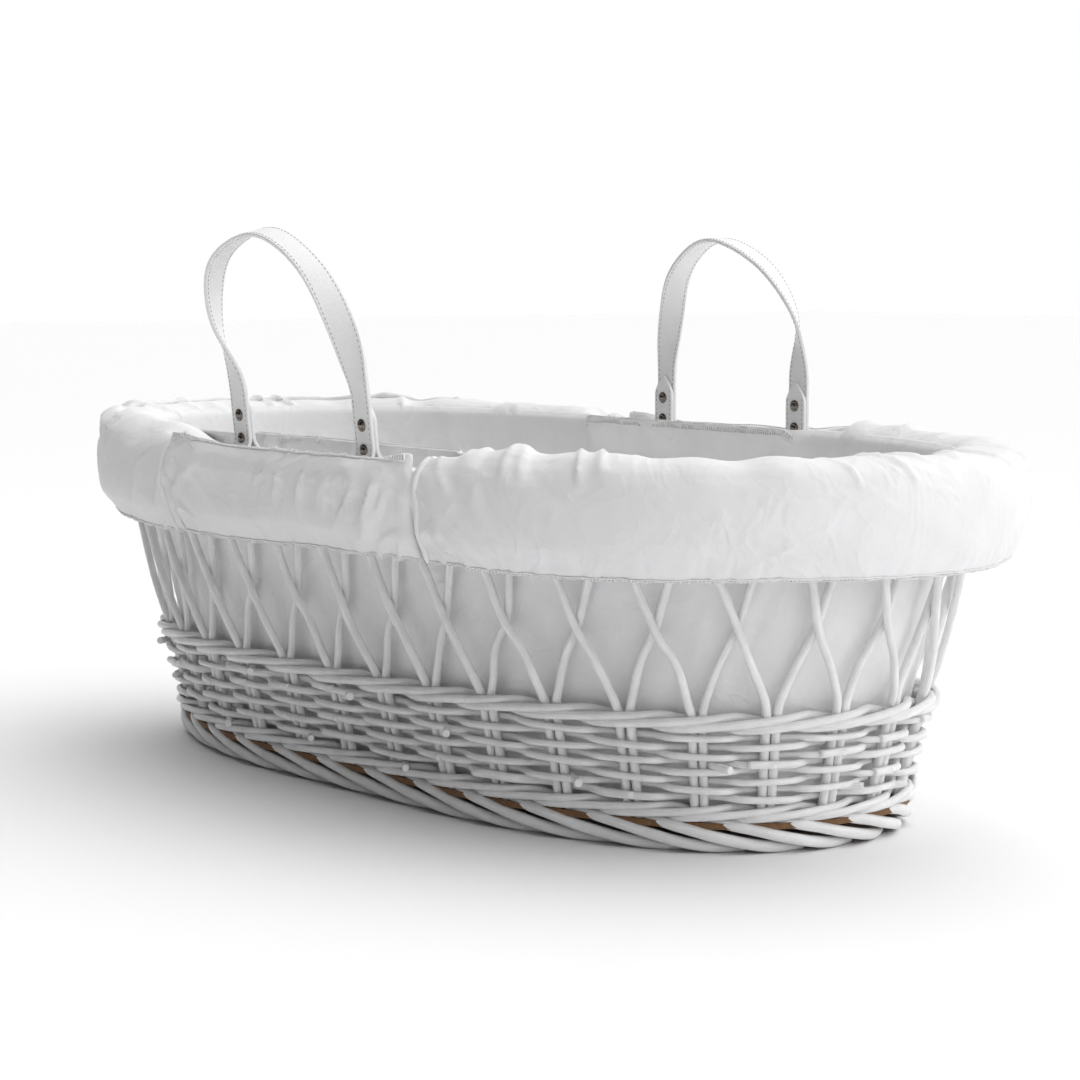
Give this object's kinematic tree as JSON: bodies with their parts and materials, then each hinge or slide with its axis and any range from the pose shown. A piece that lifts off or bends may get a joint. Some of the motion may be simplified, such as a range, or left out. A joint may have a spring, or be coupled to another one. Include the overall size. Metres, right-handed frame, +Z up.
{
  "type": "moses basket",
  "caption": "Oval white willow moses basket with crossed stakes, a padded cotton liner folded over the rim, two swinging strap handles and a lift-out mattress.",
  "frame": {"origin": "on the floor, under the middle of the oval rim", "axes": "+X along the basket's length, +Y to the side of the upright handle, +Z up"},
  "size_m": [0.8698, 0.4723, 0.4034],
  "materials": {
    "painted_willow": "brushed white paint over willow rods",
    "painted_ash": "brushed white paint over a bent wooden hoop",
    "hardboard": "bare brown hardboard",
    "quilted_cotton": "white cotton over thin polyester padding, pressed flat weave",
    "mattress_foam": "open-cell foam",
    "mattress_cotton": "white cotton",
    "strap_leatherette": "smooth white leatherette with fine grain",
    "rivet_nickel": "polished dark nickel"
  },
  "bodies": {
    "basket": {"base_board": "hardboard", "foot_border": "painted_willow", "lower_wale": "painted_willow", "siding_outer_rows": "painted_willow", "siding_inner_rows": "painted_willow", "top_wale": "painted_willow", "left_leaning_stakes": "painted_willow", "right_leaning_stakes": "painted_willow", "rim_wale": "painted_willow", "rim_hoop": "painted_ash", "rim_wrap": "painted_willow", "liner_wall": "quilted_cotton", "liner_floor": "quilted_cotton", "head_skirt": "quilted_cotton", "foot_skirt": "quilted_cotton", "near_flap": "quilted_cotton", "far_flap": "quilted_cotton", "slot_seams": "quilted_cotton"},
    "near_loops": {"near_strap_loops": "strap_leatherette", "near_rivet_heads": "rivet_nickel", "near_rivet_caps": "rivet_nickel"},
    "near_handle": {"near_strap_hoop": "strap_leatherette"},
    "far_loops": {"far_strap_loops": "strap_leatherette", "far_rivet_heads": "rivet_nickel", "far_rivet_caps": "rivet_nickel"},
    "far_handle": {"far_strap_hoop": "strap_leatherette"},
    "mattress": {"mattress_core": "mattress_foam", "mattress_cover": "mattress_cotton"}
  },
  "joints": [
    {"name": "near_swing", "type": "hinge", "parent": "basket", "child": "near_loops", "pos_m": [0, -0.198, 0.236], "axis": [1, 0, 0], "range_deg": [-51, 39]},
    {"name": "near_fold", "type": "hinge", "parent": "near_loops", "child": "near_handle", "pos_m": [0, -0.20524, 0.29054], "axis": [1, 0, 0], "range_deg": [-77, 88], "stiffness_Nm_per_rad": 0.05, "springref_deg": -4.01},
    {"name": "far_swing", "type": "hinge", "parent": "basket", "child": "far_loops", "pos_m": [0, 0.198, 0.236], "axis": [-1, 0, 0], "range_deg": [-45, 45]},
    {"name": "far_fold", "type": "hinge", "parent": "far_loops", "child": "far_handle", "pos_m": [0, 0.1995, 0.291], "axis": [-1, 0, 0], "range_deg": [-70, 95], "stiffness_Nm_per_rad": 0.05},
    {"name": "mattress_lift", "type": "slide", "parent": "basket", "child": "mattress", "axis": [0, 0, 1], "range_m": [0, 0.32]}
  ]
}
